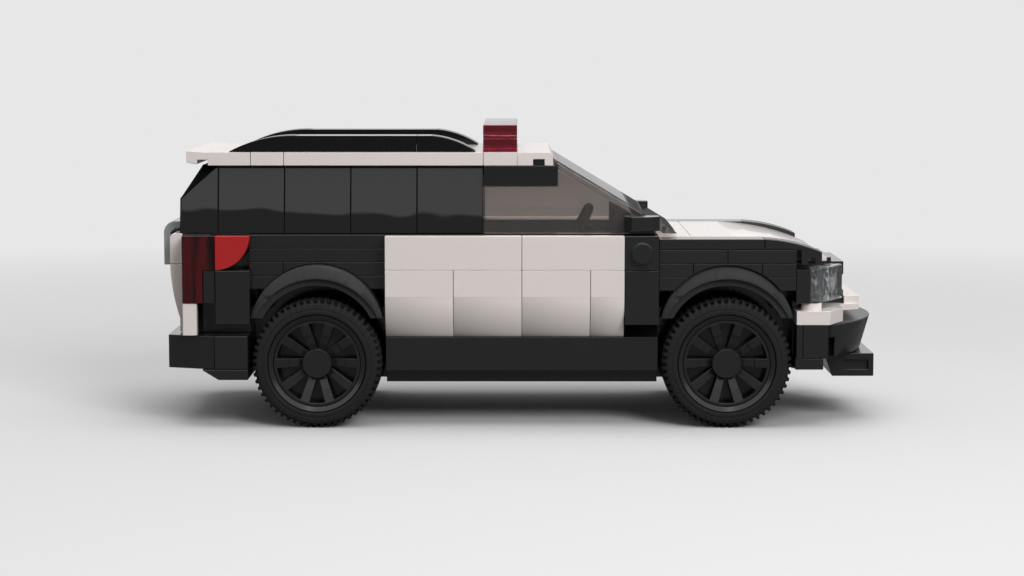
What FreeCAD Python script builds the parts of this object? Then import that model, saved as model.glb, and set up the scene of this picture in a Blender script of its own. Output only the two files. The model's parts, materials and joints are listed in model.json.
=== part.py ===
"""Toy police SUV built from studded plastic bricks, in millimetres.

+X points forward, +Y to the vehicle's left, +Z up. The origin is on the ground under the middle of
the wheelbase. Pieces are laid on the brick grid: a stud pitch and a plate height drive most sizes.
"""
import FreeCAD, Part
import math
import os

V = FreeCAD.Vector

# ---------------------------------------------------------------- driving dimensions
PITCH = 8.0              # stud pitch
PLATE = 3.2              # height of one plate
SEAM = 0.1               # gap left between neighbouring pieces
WALL = 1.5               # wall of a hollow piece
BRACKET = 1.6            # thin wall of a bracket
STUD_R = 2.4
STUD_H = 1.7
TUBE_R = 3.25            # outside of an underside tube
SKIN = 1.0               # top skin of a hollow plate

BASE_Z = 10.0            # underside of the floor plate
WHEELBASE = 96.0
AXLE_Z = 15.2
CABIN_SETBACK = 1.1      # greenhouse and roof stand this far behind the door grid
CABIN_SHORT = 1.4        # and are this much shorter than it

# wheels
TYRE_R = 15.2
TYRE_W = 14.0
TYRE_SHOULDER = 1.2
TYRE_WALL = 3.8          # tread down to the rim
TYRE_GAP = 0.8           # left between a tyre and the blocks before and behind it
TYRE_BEAD = 1.2
RIM_LIP = 1.0
RIM_WALL = 1.2
RIM_WEB = 1.6
HUB_R = 4.0
HUB_REACH = 1.0          # hub stands this far inside the tyre
PIN_R = 2.35
PIN_CLEAR = 0.05
TYRE_FIT = 0.05
COVER_SPOKES = 10
COVER_T = 1.6
COVER_RING = 0.9
SPOKE_W = 2.2
CAP_R = 3.4
CAP_PROUD = 0.3

# wheel arches: three circles in side view, each with its own centre height
ARCH_R = 15.8
ARCH_CENTRE_Z = 22.5
ARCH_FACE = 3.1          # width of the sloping face at the top of the arch
ARCH_SLANT = 1.3         # how far that face slopes outwards
ARCH_EDGE_R = 15.6
ARCH_EDGE_Z = 19.6
ARCH_LIP_R = 14.2
ARCH_LIP_Z = 19.4
ARCH_FOOT_Z = 25.9
ARCH_PROUD = 0.6         # arch stands this far outside the front fender

# doors
DOOR_CURVE = 6.2         # the lower door panels curve inwards this far below their top
DOOR_TUCK = 4.3          # and come in by this much at the sill

# greenhouse
PANEL_T = 3.0
PANEL_LEAN = 2.8         # side windows lean in by this much over their height
WINDSCREEN_T = 1.6
WINDSCREEN_FOOT = 4.8    # foot of the windscreen ahead of the doors
WINDSCREEN_HEAD = 16.6   # top of the windscreen ahead of the light bar's rear face
WINDSCREEN_TOP_Z = 62.9
CHEEK_INSET = 0.3        # side glass stands this far inside the pane's edge
HEADER_DROP = 4.8
HEADER_T = 3.0
HEADER_REACH = 1.0
GLASS_OUT = 0.9          # rear window behind the tail seat
GLASS_BREAK_Z = 53.4
GLASS_T = 1.6
CORNER_STEP = 0.4        # corner panels ahead of the rear window
GLASS_SLANT = 0.66       # run of the rear window's slanting top over its rise
SPOILER_SHORT = 1.1      # spoiler tip ahead of the tail seat
SPOILER_T = 2.5
SPOILER_LIFT = 0.3
ROOF_NOTCH = 2.0         # notch under the front roof tile
ROOF_NOTCH_LONG = 2.7
ROOF_NOTCH_H = 1.5
ROOF_CHAMFER = 0.7
RAIL_H = 3.85
MIRROR_LONG = 8.3
MIRROR_H = 3.4

# nose
SKIRT_Z = 13.9           # underside of the front and rear corners
HOOD_Z = 44.5
HOOD_FLAT = 14.0         # the flat part of the bonnet ends this far behind the fender plates' end
HOOD_NOSE = 8.0          # front edge of the bonnet ahead of the same line
HOOD_END_Z = 39.6
HOOD_EDGE = 0.9
HOOD_BULGE = 1.3
FENDER_FLAT = 7.4
FENDER_NOSE = 5.9
FENDER_END_Z = 41.5
FENDER_TIP_Z = 38.5
FENDER_SLOT = 1.1
FENDER_BULGE = 0.9
LAMP_Z0 = 29.3
LAMP_Z1 = 37.3
LAMP_SEAT = 3.5          # lamp brackets reach this far ahead of the fender plates
LAMP_SPLIT = 4.6         # joint between the lamp's two cells ahead of the nose seat
GRILLE_OUT = 9.5
GRILLE_DEPTH = 3.0
GRILLE_BAR_Z = 34.4
HALF_GRILLE = 12.5
BUMPER_Z = 24.4
BUMPER_LOW_Z = 16.0
WEDGE_OUT = 8.0          # front edge of the white plate ahead of the nose seat
WEDGE_TIP = 13.3
WEDGE_Z0 = 26.0
WEDGE_Z1 = 29.3
CORNER_OUT = 7.6         # corner blocks reach this far ahead of the fender plates
CORNER_JOINT = 1.7       # joint of the corner blocks ahead of their rear face
CORNER_LOW = 6.5         # length of the low block
BUMPER_TOP = (4.6, 30.0, 17.3)   # corner X and Y, middle X, ahead of the nose seat
BUMPER_BOTTOM = (4.2, 28.5, 14.9)
BUMPER_RECESS = 5.5
BUMPER_RECESS_Z = 21.0
LIP_HALF = 18.0
LIP_Z = 10.5
LIP_SLOT = 1.2

# tail
TAIL_OUT = 3.1
TAIL_JOINT_Z = 37.9
TAIL_ROUND = 1.2
TAIL_BULGE = 0.7
TAIL_TUCK = 2.2
REAR_BUMPER_TOP = 21.8
TRIM_TOP_Z = 29.3
TRIM_LONG = 4.0
TRIM_SET = 0.6
STRIP_LONG = 2.9
LAMP_SHORT = 0.7         # tail lamps and trims end ahead of the tail seat
LAMP_SET = 0.4
QUARTER_LOW_Z = 24.5
HANDLE_TOP_Z = 47.5
HANDLE_LOW_Z = 37.1
HANDLE_OUT = 4.7         # outer face of the handle behind the rear window
HANDLE_T = 1.6
HANDLE_ROUND = 2.7
REAR_SWEEP = 28.0
UNDER_Z = 11.4
UNDER_BREAK = 7.0
UNDER_END = 10.9

# ---------------------------------------------------------------- stations
HALF_CORE = 3 * PITCH                    # half width of the six-stud core
HALF_CABIN = 2 * PITCH                   # half width inside the side walls
HALF_BODY = 4 * PITCH                    # door and front fender face
HALF_REAR = 3.5 * PITCH                  # rear fender face
BRACKET_FACE = HALF_CORE + BRACKET
TILE_SEAT = HALF_BODY - PLATE

HALF_BASE = WHEELBASE / 2
DOOR_END = HALF_BASE - 2 * PITCH         # ends of the doors, both ways from the middle
CORE_END = HALF_BASE + 2 * PITCH         # ends of the fender plates
RED_END = CORE_END + PITCH               # rear edge of the red quarters
NOSE_SEAT = CORE_END + PITCH / 2         # front face of the nose core
TAIL_SEAT = CORE_END + 2 * PITCH         # rear face of the tail core
BAR_X = HALF_BASE - 7 * PITCH - CABIN_SETBACK
CABIN_STEP = (TAIL_SEAT + CABIN_SETBACK - CABIN_SHORT + BAR_X - PITCH) / 8
ROOF_FRONT = BAR_X + WINDSCREEN_HEAD
HEADER_X = ROOF_FRONT + HEADER_REACH
SCREEN_FOOT = DOOR_END + WINDSCREEN_FOOT
GLASS_X = -TAIL_SEAT - GLASS_OUT
TAIL_X = -TAIL_SEAT - TAIL_OUT
DASH_X = DOOR_END - 1.25 * PITCH

FLOOR_Z = BASE_Z + PLATE
SILL_Z = FLOOR_Z + PITCH
DOOR_MID_Z = SILL_Z + 2 * PITCH
BELT_Z = BASE_Z + 11 * PLATE
WELL_Z = BASE_Z + 7 * PLATE
ROOF_Z = BASE_Z + 16 * PLATE
ROOF_TOP = ROOF_Z + PLATE
HEADER_Z = ROOF_Z - HEADER_DROP
DOOR_CURVE_Z = DOOR_MID_Z - DOOR_CURVE

RIM_R = TYRE_R - TYRE_WALL
TYRE_END = HALF_BASE + TYRE_R + TYRE_GAP   # blocks beyond the tyres start here
BLOCK_END = max(TYRE_END, CORE_END)        # the rear bumper starts behind tyre and floor
ARCH_END = HALF_BASE + math.sqrt(ARCH_R ** 2 - (ARCH_FOOT_Z - ARCH_CENTRE_Z) ** 2)
QUARTER_X = -ARCH_END - SEAM - PITCH       # rear edge of the red and black quarter tiles
WHEEL_OUT = HALF_BODY                    # outer face of the tyre
WHEEL_IN = WHEEL_OUT - TYRE_W
WEB_IN = WHEEL_IN + TYRE_W / 2
HUB_IN = WHEEL_IN - HUB_REACH

# level of the row, its joints along X
FRONT_ROWS = [(7, [DOOR_END, CORE_END]),
              (8, [DOOR_END, DOOR_END + PITCH, HALF_BASE + PITCH, CORE_END]),
              (9, [DOOR_END, HALF_BASE, CORE_END])]
REAR_ROWS = [(7, [-CORE_END, -DOOR_END]),
             (8, [-CORE_END, -HALF_BASE - PITCH, -DOOR_END]),
             (9, [-CORE_END, -DOOR_END]),
             (10, [-CORE_END, -DOOR_END])]

# (studs from the bar, height over the full height of the rail)
RAIL_TAIL = [(-7.63, 0.05), (-6.83, 0.7), (-5.56, 1.0)]
RAIL_NOSE = [(-1.55, 1.0), (-0.86, 0.7), (-0.23, 0.06)]

# plan corners of a lamp, X ahead of the nose seat
LAMP_PLAN = [(-0.4, 30.5), (1.0, 30.5), (8.5, 17.6), (8.5, 14.2), (4.4, 14.4), (-0.4, 25.0)]

# side corners of the lip, X ahead of the nose seat
LIP_SIDE = [(4.4, BUMPER_LOW_Z), (6.4, LIP_Z), (16.3, LIP_Z), (16.3, BUMPER_LOW_Z)]


def level(count):
    """Height of the brick grid, counted in plates above the floor plate's underside."""
    return BASE_Z + PLATE * count


def stud(count):
    """Distance of whole or half studs along X or Y."""
    return PITCH * count


def cabin_x(studs):
    """X of a greenhouse joint, counted in studs from the light bar's rear face."""
    return BAR_X + CABIN_STEP * studs


# ---------------------------------------------------------------- helpers
def block(x0, x1, y0, y1, z0, z1):
    """Box from two corners."""
    return Part.makeBox(x1 - x0, y1 - y0, z1 - z0, V(x0, y0, z0))


def side_prism(points, y0, y1):
    """Outline of (x, z) points pushed from y0 to y1."""
    corners = [V(x, y0, z) for x, z in points]
    face = Part.Face(Part.makePolygon(corners + corners[:1]))
    return face.extrude(V(0, y1 - y0, 0))


def plan_prism(points, z0, z1):
    """Outline of (x, y) points pushed from z0 to z1."""
    corners = [V(x, y, z0) for x, y in points]
    face = Part.Face(Part.makePolygon(corners + corners[:1]))
    return face.extrude(V(0, 0, z1 - z0))


def end_prism(points, x0, x1):
    """Outline of (y, z) points pushed from x0 to x1."""
    corners = [V(x0, y, z) for y, z in points]
    face = Part.Face(Part.makePolygon(corners + corners[:1]))
    return face.extrude(V(x1 - x0, 0, 0))


def side_face(edges, y0, y1):
    """Closed outline of lines and arcs at y0, pushed to y1."""
    face = Part.Face(Part.Wire(edges))
    return face.extrude(V(0, y1 - y0, 0))


def line(y, start, end):
    """Straight edge in side view."""
    return Part.LineSegment(V(start[0], y, start[1]), V(end[0], y, end[1])).toShape()


def arc(y, start, middle, end):
    """Arc in side view through three (x, z) points."""
    points = [V(p[0], y, p[1]) for p in (start, middle, end)]
    return Part.Arc(*points).toShape()


def path(y, start, *steps):
    """Closed side-view outline; a step is (x, z) for a line or (mid x, mid z, x, z) for an arc."""
    edges = []
    here = start
    for step in steps + (start,):
        there = step[-2:]
        edges.append(arc(y, here, step[:2], there) if len(step) == 4 else line(y, here, there))
        here = there
    return edges


def barrel(x, z, radius, y0, y1):
    """Cylinder along Y."""
    return Part.makeCylinder(radius, y1 - y0, V(x, y0, z), V(0, 1, 0))


def mirrored(shape):
    """The same piece on the other side of the vehicle."""
    return shape.mirror(V(0, 0, 0), V(0, 1, 0))


def pair(shapes):
    """Pieces of the left side and their mirror images."""
    return list(shapes) + [mirrored(shape) for shape in shapes]


def rows(limits):
    """Neighbouring spans with a seam between each two."""
    half = SEAM / 2
    return [(a + half, b - half) for a, b in zip(limits[:-1], limits[1:])]


def save(name, shapes):
    """One STEP file for a node; its solids do not touch."""
    solids = [solid for shape in shapes for solid in shape.Solids]
    body = solids[0] if len(solids) == 1 else Part.makeCompound(solids)
    if not body.isValid():
        raise ValueError(name + " is not a valid shape")
    body.exportStep(os.path.join("parts", name + ".step"))


# ---------------------------------------------------------------- chassis
def tube_centres(half_x, half_y):
    """Centres of the underside tubes, between each four studs."""
    nx = round(half_x / PITCH)
    ny = round(half_y / PITCH)
    return [(stud(i), stud(j)) for i in range(1 - nx, nx) for j in range(1 - ny, ny)]


def hollow_plate(x0, x1, half_y, z0, z1):
    """Plate with a hollow underside and a grid of tubes."""
    shell = block(x0, x1, -half_y, half_y, z0, z1)
    hollow = block(x0 + WALL, x1 - WALL, WALL - half_y, half_y - WALL, z0, z1 - SKIN)
    plate = shell.cut(hollow)
    middle = (x0 + x1) / 2
    tubes = []
    for x, y in tube_centres((x1 - x0) / 2, half_y):
        outer = Part.makeCylinder(TUBE_R, z1 - z0, V(middle + x, y, z0))
        bore = Part.makeCylinder(STUD_R, z1 - z0 - SKIN, V(middle + x, y, z0))
        tubes.append(outer.cut(bore))
    return plate.fuse(tubes)


def floor_plates():
    """Wide plate between the axles, narrow plates under them."""
    wide = hollow_plate(-DOOR_END, DOOR_END, HALF_CORE, BASE_Z, FLOOR_Z)
    spans = [(DOOR_END + SEAM, CORE_END), (-CORE_END, -DOOR_END - SEAM)]
    narrow = [hollow_plate(a, b, HALF_CABIN, BASE_Z, FLOOR_Z) for a, b in spans]
    return [wide] + narrow


def axle_holder(side):
    """Two-plate-high holder with a pin on each side for the wheels."""
    x = side * HALF_BASE
    body = block(x - PITCH, x + PITCH, -HALF_CABIN, HALF_CABIN, FLOOR_Z, level(3))
    pins = pair([barrel(x, AXLE_Z, PIN_R, HALF_CABIN, WEB_IN + RIM_WEB)])
    return body.fuse(pins)


# ---------------------------------------------------------------- wheels
def revolved(points, x):
    """Profile of (radius, y) points turned about a wheel axis."""
    corners = [V(x + r, y, AXLE_Z) for r, y in points]
    face = Part.Face(Part.makePolygon(corners + corners[:1]))
    return face.revolve(V(x, 0, AXLE_Z), V(0, 1, 0), 360)


def tyre(x):
    """Tyre with chamfered shoulders on the left side."""
    bore = RIM_R + TYRE_FIT
    shoulder = bore + TYRE_BEAD
    bead = TYRE_BEAD * 2 / 3
    profile = [(bore, WHEEL_IN + bead), (shoulder, WHEEL_IN),
               (TYRE_R - TYRE_SHOULDER, WHEEL_IN), (TYRE_R, WHEEL_IN + TYRE_SHOULDER),
               (TYRE_R, WHEEL_OUT - TYRE_SHOULDER), (TYRE_R - TYRE_SHOULDER, WHEEL_OUT),
               (shoulder, WHEEL_OUT), (bore, WHEEL_OUT - bead)]
    return revolved(profile, x)


def rim(x):
    """Rim barrel with a web and a bored hub."""
    bore = PIN_R + PIN_CLEAR
    inside = RIM_R - RIM_WALL
    edge = WHEEL_OUT - RIM_LIP
    web_out = WEB_IN + RIM_WEB
    profile = [(bore, HUB_IN), (HUB_R, HUB_IN), (HUB_R, WEB_IN), (inside, WEB_IN),
               (inside, WHEEL_IN + RIM_LIP), (RIM_R, WHEEL_IN + RIM_LIP), (RIM_R, edge),
               (inside, edge), (inside, web_out), (bore, web_out)]
    return revolved(profile, x)


def wheel_cover(x):
    """Ten-spoke cover with a round cap, plugged against the web."""
    out = WHEEL_OUT - RIM_LIP
    low = out - COVER_T
    ring_out = RIM_R - RIM_WALL - TYRE_FIT
    ring = barrel(x, AXLE_Z, ring_out, low, out).cut(barrel(x, AXLE_Z, ring_out - COVER_RING, low, out))
    cap = barrel(x, AXLE_Z, CAP_R, WEB_IN + RIM_WEB, out + CAP_PROUD)
    pieces = [cap]
    for index in range(COVER_SPOKES):
        spoke = block(x, x + ring_out - COVER_RING / 2, low, out - 2 * SEAM,
                      AXLE_Z - SPOKE_W / 2, AXLE_Z + SPOKE_W / 2)
        spoke.rotate(V(x, 0, AXLE_Z), V(0, 1, 0), index * 360.0 / COVER_SPOKES)
        pieces.append(spoke)
    return ring.fuse(pieces).removeSplitter()


# ---------------------------------------------------------------- sides
def sill_tiles():
    """Side tiles below the doors."""
    return pair([block(-DOOR_END, DOOR_END, BRACKET_FACE, TILE_SEAT, FLOOR_Z, SILL_Z)])


def cabin_walls():
    """One-stud-thick walls behind the doors."""
    return pair([block(-DOOR_END, DOOR_END, HALF_CABIN, HALF_CORE, FLOOR_Z, BELT_Z)])


def door_brackets():
    """Thin bracket faces that carry the side tiles, thicker behind the upper tiles."""
    face = block(-DOOR_END, DOOR_END, HALF_CORE, BRACKET_FACE, FLOOR_Z, BELT_Z)
    pad = block(-DOOR_END, DOOR_END, BRACKET_FACE, TILE_SEAT, DOOR_MID_Z, BELT_Z)
    return pair([face.fuse(pad).removeSplitter()])


def upper_door_tiles():
    """White tiles, from the rear edge of the rear door to the front pillar."""
    spans = rows([-DOOR_END, 0, DOOR_END - PITCH])
    return pair([block(a, b, TILE_SEAT, HALF_BODY, DOOR_MID_Z, BELT_Z) for a, b in spans])


def lower_door_panels():
    """White panels with a face that curves in towards the sill."""
    spans = rows([-DOOR_END, -DOOR_END / 2, 0, DOOR_END / 2, DOOR_END - PITCH])
    panels = []
    drop = DOOR_CURVE_Z - SILL_Z
    for a, b in spans:
        corner = V(a, HALF_BODY, DOOR_CURVE_Z)
        belly = V(a, HALF_BODY - 0.27 * DOOR_TUCK, DOOR_CURVE_Z - 0.53 * drop)
        hem = V(a, HALF_BODY - DOOR_TUCK, SILL_Z)
        top = V(a, HALF_BODY, DOOR_MID_Z)
        back_top = V(a, BRACKET_FACE, DOOR_MID_Z)
        back_low = V(a, BRACKET_FACE, SILL_Z)
        edges = [Part.Arc(corner, belly, hem).toShape()]
        path = [hem, back_low, back_top, top, corner]
        edges += [Part.LineSegment(p, q).toShape() for p, q in zip(path[:-1], path[1:])]
        panels.append(Part.Face(Part.Wire(edges)).extrude(V(b - a, 0, 0)))
    return pair(panels)


def front_pillars():
    """Black column between door and front fender, with one stud facing outwards."""
    x0, x1 = DOOR_END - PITCH + SEAM, DOOR_END
    upper = block(x0, x1, TILE_SEAT, HALF_BODY, DOOR_MID_Z, BELT_Z)
    knob = barrel((x0 + x1) / 2, DOOR_MID_Z + PITCH / 2, STUD_R, HALF_BODY, HALF_BODY + STUD_H)
    lower = block(x0, x1, BRACKET_FACE, HALF_BODY, SILL_Z + PLATE, DOOR_MID_Z - SEAM)
    return pair([upper.fuse(knob), lower.cut(arch_void(HALF_BASE, SEAM))])


# ---------------------------------------------------------------- fenders and arches
def arch_void(x, clearance):
    """Everything inside an arch's outer circle, outside the core."""
    return barrel(x, ARCH_CENTRE_Z, ARCH_R + clearance, HALF_CORE, HALF_BODY + PITCH)


def wheel_arch(x, root):
    """Arch on the left side, from the fender's inner face to its sloping outer face."""
    out = HALF_BODY + ARCH_PROUD
    disc = barrel(x, ARCH_CENTRE_Z, ARCH_R, root, out - ARCH_SLANT)
    cone = Part.makeCone(ARCH_R, ARCH_R - ARCH_FACE, ARCH_SLANT,
                         V(x, out - ARCH_SLANT, ARCH_CENTRE_Z), V(0, 1, 0))
    ring = disc.fuse(cone)
    ring = ring.cut(barrel(x, ARCH_EDGE_Z, ARCH_EDGE_R, out - ARCH_SLANT, out + PITCH))
    ring = ring.cut(barrel(x, ARCH_LIP_Z, ARCH_LIP_R, root - PITCH, out + PITCH))
    foot = block(x - stud(4), x + stud(4), root - PITCH, out + PITCH, 0, ARCH_FOOT_Z)
    return ring.cut(foot)


def fender_rows(table, face, axle_x):
    """Stacked plates of one fender; each row of the table is (level, x limits)."""
    pieces = []
    for low, limits in table:
        for a, b in rows(limits):
            plate = block(a, b, HALF_CABIN, face, level(low) + SEAM / 2, level(low + 1) - SEAM / 2)
            pieces.append(plate.cut(arch_void(axle_x, SEAM)))
    return pieces


def front_fender_slopes():
    """Top of the front fender: a flat plate, then a slope that curves down to a tip."""
    y = HALF_CORE + SEAM
    low = level(10) + SEAM / 2
    start = DOOR_END + SEAM / 2
    flat = CORE_END - FENDER_FLAT
    tip = CORE_END + FENDER_NOSE
    notch = FENDER_TIP_Z + PLATE / 2
    plate = block(start, flat - SEAM, y, HALF_BODY, low, HOOD_Z)
    slope = path(y, (flat, low), (flat, HOOD_Z),
                 ((flat + tip) / 2, HOOD_Z - FENDER_BULGE, tip, FENDER_END_Z),
                 (tip, FENDER_TIP_Z), (tip - BRACKET, FENDER_TIP_Z), (tip - BRACKET, notch),
                 (tip - 2 * BRACKET, notch), (tip - 2 * BRACKET, FENDER_TIP_Z),
                 (CORE_END + FENDER_SLOT, FENDER_TIP_Z), (CORE_END + FENDER_SLOT, low))
    return pair([plate, side_face(slope, y, HALF_BODY)])


# ---------------------------------------------------------------- greenhouse
def leaning_slab(x0, x1):
    """Side window panel that leans in towards the roof."""
    outline = [(HALF_CORE, BELT_Z), (HALF_CORE - PANEL_LEAN, ROOF_Z),
               (HALF_CORE - PANEL_LEAN - PANEL_T, ROOF_Z), (HALF_CORE - PANEL_T, BELT_Z)]
    return end_prism(outline, x0, x1)


def side_windows():
    """Four glossy panels a side."""
    joints = [cabin_x(n) for n in (-8, -6, -4, -2, 0)]
    return pair([leaning_slab(a, b) for a, b in rows(joints)])


def rear_corner_panels():
    """Last panel of each side, its top cut along the rear slope."""
    back, front = GLASS_X + CORNER_STEP, cabin_x(-8)
    slab = leaning_slab(back, front - SEAM / 2)
    corner = side_prism([(back - WALL, GLASS_BREAK_Z - WALL), (back - WALL, ROOF_Z + WALL),
                         (front, ROOF_Z + WALL), (front, ROOF_Z)], 0, HALF_BODY)
    return pair([slab.cut(corner)])


def rear_glass():
    """Upright rear window with a slanting top."""
    top_x = GLASS_X + GLASS_SLANT * (ROOF_Z - GLASS_BREAK_Z)
    inside = GLASS_X + GLASS_T
    outline = [(GLASS_X, BELT_Z), (GLASS_X, GLASS_BREAK_Z), (top_x, ROOF_Z), (top_x + 2 * GLASS_T, ROOF_Z),
               (inside, GLASS_BREAK_Z - GLASS_T / 3), (inside, BELT_Z)]
    pane = side_prism(outline, -HALF_CORE, HALF_CORE)
    low = HALF_CORE - PANEL_T - SEAM
    top = low - PANEL_LEAN
    opening = [(-low, BELT_Z), (-top, ROOF_Z), (top, ROOF_Z), (low, BELT_Z)]
    return [pane.common(end_prism(opening, GLASS_X - WALL, 0))]


def roof_tiles():
    """Smooth white roof; the front tile is notched below and chamfered above."""
    limits = [cabin_x(-7), cabin_x(-6), cabin_x(0), BAR_X + PITCH, ROOF_FRONT - SEAM]
    spans = rows(limits)
    tiles = [block(a, b, -HALF_CORE, HALF_CORE, ROOF_Z, ROOF_TOP) for a, b in spans[:-1]]
    a, b = spans[-1]
    edge = b - ROOF_NOTCH
    outline = [(a, ROOF_Z), (a, ROOF_TOP), (b - ROOF_CHAMFER, ROOF_TOP), (b, ROOF_TOP - ROOF_CHAMFER),
               (b, ROOF_Z), (edge, ROOF_Z), (edge, ROOF_Z + ROOF_NOTCH_H),
               (edge - ROOF_NOTCH_LONG, ROOF_Z + ROOF_NOTCH_H), (edge - ROOF_NOTCH_LONG, ROOF_Z)]
    return tiles + [side_prism(outline, -HALF_CORE, HALF_CORE)]


def spoiler():
    """White tail of the roof with an upturned edge and a notch below."""
    tip = SPOILER_SHORT - TAIL_SEAT
    start = cabin_x(-7) - SEAM / 2
    notch = ROOF_Z + PLATE - SPOILER_T + 0.2 * PLATE
    outline = [(start, ROOF_Z), (start, ROOF_TOP), (tip + PITCH / 2, ROOF_TOP),
               (tip, ROOF_TOP + SPOILER_LIFT), (tip, ROOF_TOP - SPOILER_T),
               (tip + SPOILER_T, ROOF_Z + SPOILER_LIFT),
               (tip + SPOILER_T, notch), (tip + 2 * SPOILER_T, notch), (tip + 2 * SPOILER_T, ROOF_Z)]
    return [side_prism(outline, -HALF_CORE, HALF_CORE)]


def rail_points(table):
    """Points of a rail's curved end in side view."""
    return [(cabin_x(studs), ROOF_TOP + height * RAIL_H) for studs, height in table]


def roof_rails():
    """Two black rails, low at both ends, each of two pieces."""
    y = HALF_CABIN
    top = ROOF_TOP + RAIL_H
    joint = cabin_x(-2)
    low, middle, high = rail_points(RAIL_TAIL)
    tail = path(y, (low[0], ROOF_TOP), low, middle + high,
                (joint - SEAM / 2, top), (joint - SEAM / 2, ROOF_TOP))
    high, middle, low = rail_points(RAIL_NOSE)
    nose = path(y, (joint + SEAM / 2, ROOF_TOP), (joint + SEAM / 2, top),
                high, middle + low, (low[0], ROOF_TOP))
    return pair([side_face(edges, y, HALF_CORE) for edges in (tail, nose)])


def light_bar(y0, y1):
    """Half of the light bar: two transparent blocks on each other."""
    x0, x1 = BAR_X, BAR_X + PITCH
    return [block(x0, x1, y0, y1, a, b) for a, b in rows([ROOF_TOP, level(18), level(19)])]


def screen_line(offset):
    """Foot (x, z) and slope of the windscreen's face, moved inwards by offset."""
    run = SCREEN_FOOT - ROOF_FRONT
    rise = WINDSCREEN_TOP_Z - BELT_Z
    length = math.hypot(run, rise)
    foot = (SCREEN_FOOT - rise / length * offset, BELT_Z - run / length * offset)
    return foot, rise / run


def at_height(offset, z):
    """X of the windscreen's face, moved inwards, at a height."""
    foot, slope = screen_line(offset)
    return foot[0] - (z - foot[1]) / slope


def at_x(offset, x):
    """Height of the windscreen's face, moved inwards, at an X."""
    foot, slope = screen_line(offset)
    return foot[1] - (x - foot[0]) * slope


def windscreen():
    """Tinted windscreen with its side glass, one hollow piece open below."""
    back = cabin_x(0) + SEAM
    top_x = ROOF_FRONT + SEAM
    shell = side_prism([(back, BELT_Z), (SCREEN_FOOT, BELT_Z), (top_x, at_x(0, top_x)),
                        (top_x, ROOF_Z + SEAM), (HEADER_X + SEAM, ROOF_Z + SEAM),
                        (HEADER_X + SEAM, HEADER_Z - SEAM), (back, HEADER_Z - SEAM)],
                       -HALF_CORE, HALF_CORE)
    below = BELT_Z - WALL
    ceiling = at_x(WINDSCREEN_T, HEADER_X)
    outline = [(back - WALL, below), (at_height(WINDSCREEN_T, below), below), (HEADER_X, ceiling),
               (back - WALL, ceiling)]
    inner = HALF_CORE - WINDSCREEN_T
    room = side_prism(outline, -inner, inner)
    cheeks = pair([side_prism(outline, HALF_CORE - CHEEK_INSET, HALF_BODY)])
    return [shell.cut([room] + cheeks)]


def roof_header():
    """Black frame under the front of the roof, with side bars over the side glass."""
    x0 = cabin_x(0) + SEAM
    beam = block(x0, HEADER_X, -HALF_CORE, HALF_CORE, ROOF_Z - HEADER_T, ROOF_Z)
    bars = pair([block(x0, HEADER_X, HALF_CORE - HEADER_T, HALF_CORE, HEADER_Z, ROOF_Z)])
    return [beam.fuse(bars).removeSplitter()]


def mirrors():
    """Black door mirrors on the front pillars."""
    x0 = DOOR_END - PITCH
    x1 = x0 + MIRROR_LONG
    root = HALF_BODY - 2 * PLATE
    outline = [(x0, HALF_BODY - PLATE), (x0 + BRACKET, HALF_BODY + SEAM),
               (x1 - BRACKET, HALF_BODY - BRACKET), (x1, HALF_BODY - PLATE), (x1, root), (x0, root)]
    head = plan_prism(outline, BELT_Z + SKIN, BELT_Z + SKIN + MIRROR_H)
    foot = block(x0 + SKIN, x1 - SKIN, HALF_CORE + SEAM, HALF_BODY - 1.5 * PLATE, BELT_Z, BELT_Z + PLATE)
    return pair([head.fuse(foot).removeSplitter()])


# ---------------------------------------------------------------- nose
def nose_core():
    """Black core between the front wheels and behind the grille."""
    well = block(DOOR_END + SEAM, CORE_END, -HALF_CABIN, HALF_CABIN, level(3), WELL_Z)
    deck = block(DOOR_END + SEAM, CORE_END, -HALF_CABIN + SEAM, HALF_CABIN - SEAM, WELL_Z, level(10))
    front = block(CORE_END, NOSE_SEAT, -HALF_CORE, HALF_CORE, FLOOR_Z, FENDER_TIP_Z - SEAM)
    return [well.fuse([deck, front]).removeSplitter()]


def cowl():
    """White plate at the foot of the windscreen."""
    return [block(DOOR_END + SEAM, DOOR_END + PITCH, -HALF_CORE, HALF_CORE, level(10), HOOD_Z)]


def hood():
    """White bonnet, flat behind and curving down to the front edge."""
    start = DOOR_END + PITCH + SEAM
    low = level(10)
    drop = CORE_END - HOOD_FLAT
    end = CORE_END + HOOD_NOSE
    edge = HOOD_END_Z - HOOD_EDGE
    step = CORE_END + SEAM
    edges = path(-HALF_CORE, (start, low), (start, HOOD_Z), (drop, HOOD_Z),
                 ((drop + end) / 2, HOOD_Z - HOOD_BULGE, end, HOOD_END_Z),
                 (end, edge), (step, edge), (step, low))
    return [side_face(edges, -HALF_CORE, HALF_CORE)]


def headlight_bodies():
    """Black brackets beside the nose that carry the lamps."""
    return pair([block(CORE_END + SEAM, CORE_END + LAMP_SEAT, HALF_CORE + SEAM, HALF_BODY - SKIN,
                       LAMP_Z0, LAMP_Z1)])


def headlamps():
    """Clear lamps of two cells, swept back around the corners of the nose."""
    lamp = plan_prism([(NOSE_SEAT + x, y) for x, y in LAMP_PLAN], LAMP_Z0, LAMP_Z1)
    joint = NOSE_SEAT + LAMP_SPLIT
    seam = block(joint - SEAM / 2, joint + SEAM / 2, 0, HALF_BODY, LAMP_Z0, LAMP_Z1)
    return pair([lamp.cut(seam)])


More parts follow.
